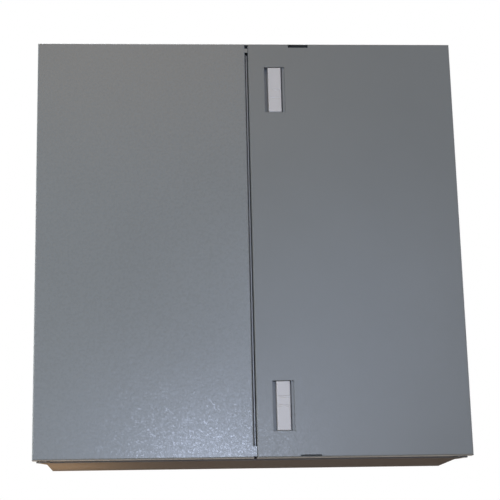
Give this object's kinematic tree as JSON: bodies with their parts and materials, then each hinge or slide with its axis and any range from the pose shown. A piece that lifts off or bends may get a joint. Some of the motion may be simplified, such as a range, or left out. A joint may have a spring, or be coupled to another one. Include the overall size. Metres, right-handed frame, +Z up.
{
  "type": "meter cabinet",
  "caption": "Wall-hung folded steel meter cabinet: overlay leaf doors on corner pins, recessed slide latches, inner bolts, meter carrier, rails and terminal bars.",
  "frame": {"origin": "middle of the base, on the body's underside", "axes": "+X to the right seen from the front, +Y to the wall, +Z up"},
  "size_m": [0.6, 0.155, 0.603],
  "materials": {
    "grey_paint": "powder coat",
    "latch_plastic": "moulded",
    "black_foam": "matt",
    "terminal_brass": "drawn",
    "insulator_plastic": "moulded",
    "knob_plastic": "moulded",
    "galvanised_sheet": "galvanised",
    "zinc_fasteners": "zinc plated"
  },
  "bodies": {
    "cabinet": {"body_shell": "grey_paint", "front_frame": "grey_paint", "centre_post": "grey_paint", "post_stiffeners": "grey_paint", "seam_fin": "grey_paint", "rim_seal": "black_foam", "hinge_pin_lower_left": "zinc_fasteners", "hinge_pin_upper_left": "zinc_fasteners", "hinge_pin_lower_right": "zinc_fasteners", "hinge_pin_upper_right": "zinc_fasteners", "mounting_plate": "galvanised_sheet", "plate_studs": "zinc_fasteners", "plate_spacers": "galvanised_sheet", "plate_nuts": "galvanised_sheet", "meter_carrier": "galvanised_sheet", "carrier_screws": "zinc_fasteners", "upper_mounting_rail": "galvanised_sheet", "lower_mounting_rail": "galvanised_sheet", "rail_screws": "zinc_fasteners", "neutral_bar": "terminal_brass", "neutral_bar_supports": "insulator_plastic", "neutral_bar_screws": "zinc_fasteners", "earth_bar": "terminal_brass", "earth_bar_supports": "galvanised_sheet", "earth_bar_screws": "zinc_fasteners", "cable_entry_plate": "grey_paint", "cable_entry_seal": "black_foam", "cable_entry_screws": "zinc_fasteners", "cable_grommets": "black_foam", "earth_stud": "zinc_fasteners", "earth_stud_nut": "terminal_brass"},
    "left_door": {"left_leaf": "grey_paint", "lower_bolt_bracket": "galvanised_sheet", "upper_bolt_bracket": "galvanised_sheet"},
    "right_door": {"right_leaf": "grey_paint", "lower_latch_cup": "grey_paint", "upper_latch_cup": "grey_paint"},
    "lower_latch": {"lower_latch_slider": "latch_plastic", "lower_latch_tongue": "galvanised_sheet", "lower_latch_screws": "zinc_fasteners"},
    "upper_latch": {"upper_latch_slider": "latch_plastic", "upper_latch_tongue": "galvanised_sheet", "upper_latch_screws": "zinc_fasteners"},
    "lower_left_bolt": {"lower_bolt": "zinc_fasteners", "lower_bolt_knob": "knob_plastic"},
    "upper_left_bolt": {"upper_bolt": "zinc_fasteners", "upper_bolt_knob": "knob_plastic"}
  },
  "joints": [
    {"name": "left_door_hinge", "type": "hinge", "parent": "cabinet", "child": "left_door", "pos_m": [-0.29, -0.0575, 0.3015], "axis": [0, 0, -1], "range_deg": [0, 110]},
    {"name": "right_door_hinge", "type": "hinge", "parent": "cabinet", "child": "right_door", "pos_m": [0.29, -0.0575, 0.3015], "axis": [0, 0, 1], "range_deg": [0, 110]},
    {"name": "lower_latch_slide", "type": "slide", "parent": "right_door", "child": "lower_latch", "axis": [-1, 0, 0], "range_m": [0, 0.0045]},
    {"name": "upper_latch_slide", "type": "slide", "parent": "right_door", "child": "upper_latch", "axis": [-1, 0, 0], "range_m": [0, 0.0045]},
    {"name": "lower_bolt_slide", "type": "slide", "parent": "left_door", "child": "lower_left_bolt", "axis": [0, 0, -1], "range_m": [0, 0.012]},
    {"name": "upper_bolt_slide", "type": "slide", "parent": "left_door", "child": "upper_left_bolt", "axis": [0, 0, 1], "range_m": [0, 0.012]}
  ]
}
